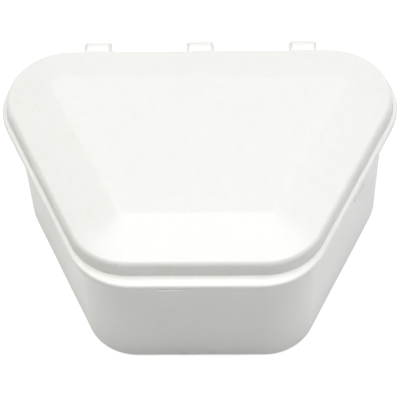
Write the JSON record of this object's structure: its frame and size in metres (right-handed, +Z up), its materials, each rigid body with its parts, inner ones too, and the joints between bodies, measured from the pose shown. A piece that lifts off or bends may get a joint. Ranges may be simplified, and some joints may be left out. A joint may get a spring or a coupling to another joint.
{
  "type": "denture case",
  "caption": "Denture case of white moulded plastic: a deep tray with a rounded-trapezoid plan, closed by a hip-roofed lid that turns on clip-on hooks along its wide back edge.",
  "frame": {"origin": "On the surface the case stands on, under the middle of its overall width and of its overall depth, the hinge hooks included.", "axes": "+Z up; +Y towards the hinge at the back; +X to the right when the case is seen from its front. The narrow front with the finger lip faces -Y."},
  "size_m": [0.095, 0.0732, 0.0436],
  "materials": {
    "tray_plastic": "opaque white polypropylene, injection moulded, softly glossy",
    "lid_plastic": "opaque white polypropylene, injection moulded, softly glossy"
  },
  "bodies": {
    "tray": {"tray": "tray_plastic"},
    "lid": {"lid": "lid_plastic"}
  },
  "joints": [
    {"name": "lid_hinge", "type": "hinge", "parent": "tray", "child": "lid", "pos_m": [0, 0.03388, 0.0349], "axis": [-1, 0, 0], "range_deg": [0, 180]}
  ]
}
